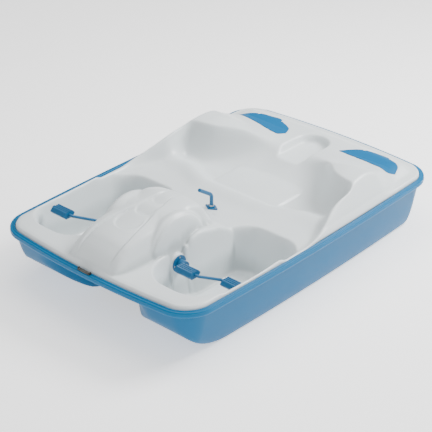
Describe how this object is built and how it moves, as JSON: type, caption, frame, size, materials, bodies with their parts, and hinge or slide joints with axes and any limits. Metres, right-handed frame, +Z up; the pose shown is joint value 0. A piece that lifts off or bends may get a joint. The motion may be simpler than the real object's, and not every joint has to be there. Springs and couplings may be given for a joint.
{
  "type": "pedal boat",
  "caption": "Moulded pedal boat with bench seats, footwells, twin cranks driving a centre paddle wheel, and a lever-steered rudder.",
  "frame": {"origin": "on the surface that the hull rests on, under the middle of the gunwale's length and width", "axes": "+Z up, bow towards -Y, stern towards +Y, port towards +X"},
  "size_m": [1.58, 2.3446, 0.578],
  "materials": {
    "hull_plastic": "rotationally smooth moulded sheet, semi-gloss",
    "deck_plastic": "moulded sheet with a fine satin grain",
    "trim_vinyl": "satin extruded band",
    "blue_nylon": "moulded, satin",
    "bush_nylon": "plain moulded",
    "painted_rod": "powder-coated bent rod",
    "lever_grip": "dipped plastic coat on bent tube",
    "pedal_plastic": "moulded block with ribs",
    "steel": "zinc-plated",
    "inlay_sheet": "flat satin sheet",
    "foam": "expanded bead foam",
    "wheel_plastic": "moulded",
    "plug_rubber": "moulded",
    "dark_steel": "darkened steel",
    "rudder_plastic": "moulded"
  },
  "bodies": {
    "boat": {"hull_shell": "hull_plastic", "deck_shell": "deck_plastic", "gunwale_trim": "trim_vinyl", "crank_bearing_port": "blue_nylon", "crank_bearing_starboard": "blue_nylon", "bearing_screws_port": "steel", "bearing_screws_starboard": "steel", "axle_bush_port": "bush_nylon", "axle_bush_starboard": "bush_nylon", "lever_flange": "blue_nylon", "lever_screws": "steel", "rudder_bush": "bush_nylon", "deck_inlay_port": "inlay_sheet", "deck_inlay_starboard": "inlay_sheet", "flotation_foam_port": "foam", "flotation_foam_starboard": "foam", "bow_eye_plate": "dark_steel", "drain_plug_port": "plug_rubber", "drain_plug_starboard": "plug_rubber"},
    "drive": {"paddle_axle": "steel", "paddle_hub": "wheel_plastic", "paddle_blades": "wheel_plastic", "blade_bolts": "steel", "wheel_ring_port": "wheel_plastic", "wheel_ring_starboard": "wheel_plastic", "crank_port": "painted_rod", "crank_starboard": "painted_rod", "pedal_cap_port": "blue_nylon", "pedal_cap_starboard": "blue_nylon"},
    "pedal_pi": {"pedal_port_inner": "pedal_plastic"},
    "pedal_po": {"pedal_port_outer": "pedal_plastic"},
    "pedal_si": {"pedal_starboard_inner": "pedal_plastic"},
    "pedal_so": {"pedal_starboard_outer": "pedal_plastic"},
    "lever": {"steering_lever": "lever_grip", "lever_collar": "steel", "lever_arm": "steel", "rod_pin_front": "steel"},
    "rod": {"push_rod": "steel"},
    "rudder": {"rudder_stock": "steel", "rudder_nut": "steel", "rudder_blade": "rudder_plastic", "rudder_arm": "steel", "rod_pin_rear": "steel"},
    "tow_bail": {"tow_bail": "dark_steel"}
  },
  "joints": [
    {"name": "drive_spin", "type": "hinge", "parent": "boat", "child": "drive", "pos_m": [0, -0.68, 0.29], "axis": [1, 0, 0], "continuous": true},
    {"name": "pedal_port_inner_spin", "type": "hinge", "parent": "drive", "child": "pedal_pi", "pos_m": [0.425, -0.77959, 0.3475], "axis": [1, 0, 0], "continuous": true},
    {"name": "pedal_port_outer_spin", "type": "hinge", "parent": "drive", "child": "pedal_po", "pos_m": [0.587, -0.58041, 0.2325], "axis": [1, 0, 0], "continuous": true},
    {"name": "pedal_starboard_inner_spin", "type": "hinge", "parent": "drive", "child": "pedal_si", "pos_m": [-0.425, -0.58041, 0.2325], "axis": [1, 0, 0], "continuous": true},
    {"name": "pedal_starboard_outer_spin", "type": "hinge", "parent": "drive", "child": "pedal_so", "pos_m": [-0.587, -0.77959, 0.3475], "axis": [1, 0, 0], "continuous": true},
    {"name": "steering_turn", "type": "hinge", "parent": "boat", "child": "lever", "pos_m": [0, -0.11, 0.318], "axis": [0, 0, 1], "range_deg": [-40, 40]},
    {"name": "rod_pivot", "type": "hinge", "parent": "lever", "child": "rod", "pos_m": [0.07, -0.11, 0.264], "axis": [0, 0, 1], "range_deg": [-40, 40]},
    {"name": "rudder_turn", "type": "hinge", "parent": "boat", "child": "rudder", "pos_m": [0, 0.938, 0.25], "axis": [0, 0, 1], "range_deg": [-40, 40]},
    {"name": "tow_bail_swing", "type": "hinge", "parent": "boat", "child": "tow_bail", "pos_m": [0, -1.1565, 0.3505], "axis": [-1, 0, 0], "range_deg": [0, 170]}
  ],
  "couplings": [
    {"joint": "rod_pivot", "follows": "steering_turn", "ratio": -1},
    {"joint": "rudder_turn", "follows": "steering_turn", "ratio": 1}
  ]
}
